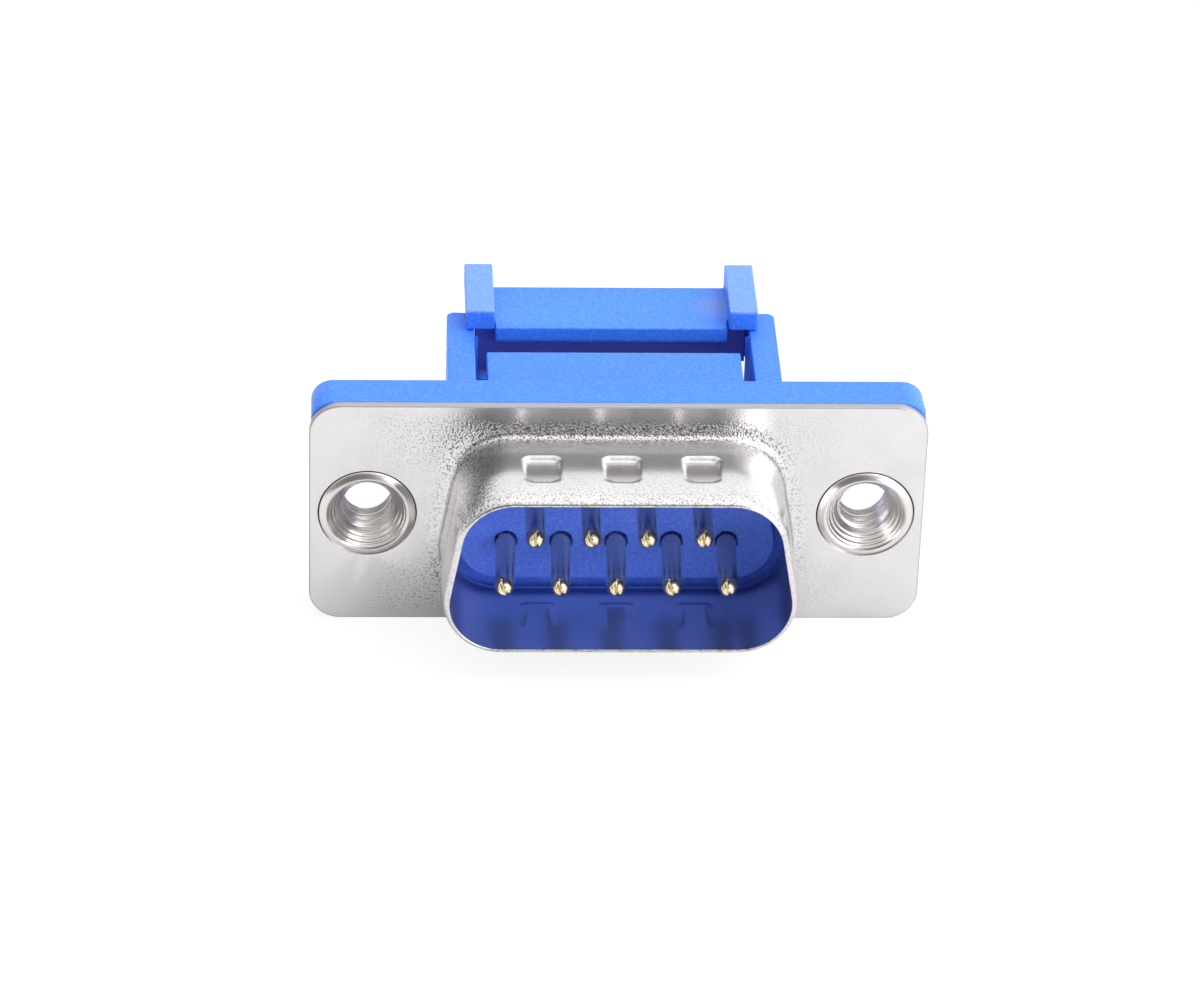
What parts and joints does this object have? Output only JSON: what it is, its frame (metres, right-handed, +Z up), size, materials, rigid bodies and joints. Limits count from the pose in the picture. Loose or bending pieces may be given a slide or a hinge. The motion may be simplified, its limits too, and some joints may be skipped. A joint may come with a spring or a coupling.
{
  "type": "d-sub connector",
  "caption": "Flanged male D-sub plug for flat ribbon cable, with a drawn metal shroud, round pins, threaded rivets and a sliding cable cover that presses wires on to forks.",
  "frame": {"origin": "middle of the flange's front face, on the centre line of the D and of the two screw holes", "axes": "+X to the right seen from the mating side, +Y from the mating side to the cable side, +Z up with the wide side of the D facing down"},
  "size_m": [0.0308, 0.0202, 0.0126],
  "materials": {
    "plated_steel": "satin nickel plate over drawn steel",
    "plated_rivet": "bright nickel plate",
    "blue_body": "moulded glass-filled PBT, blue",
    "blue_cover": "moulded glass-filled PBT, blue",
    "contact_alloy": "stamped copper alloy, gold at the mating end"
  },
  "bodies": {
    "housing": {"front_shell": "plated_steel", "insulator_body": "blue_body", "threaded_insert_left": "plated_rivet", "threaded_insert_right": "plated_rivet", "contact_1": "contact_alloy", "contact_2": "contact_alloy", "contact_3": "contact_alloy", "contact_4": "contact_alloy", "contact_5": "contact_alloy", "contact_6": "contact_alloy", "contact_7": "contact_alloy", "contact_8": "contact_alloy", "contact_9": "contact_alloy"},
    "cover": {"cover": "blue_cover"}
  },
  "joints": [
    {"name": "cover_slide", "type": "slide", "parent": "housing", "child": "cover", "axis": [0, -1, 0], "range_m": [0, 0.00145]}
  ]
}
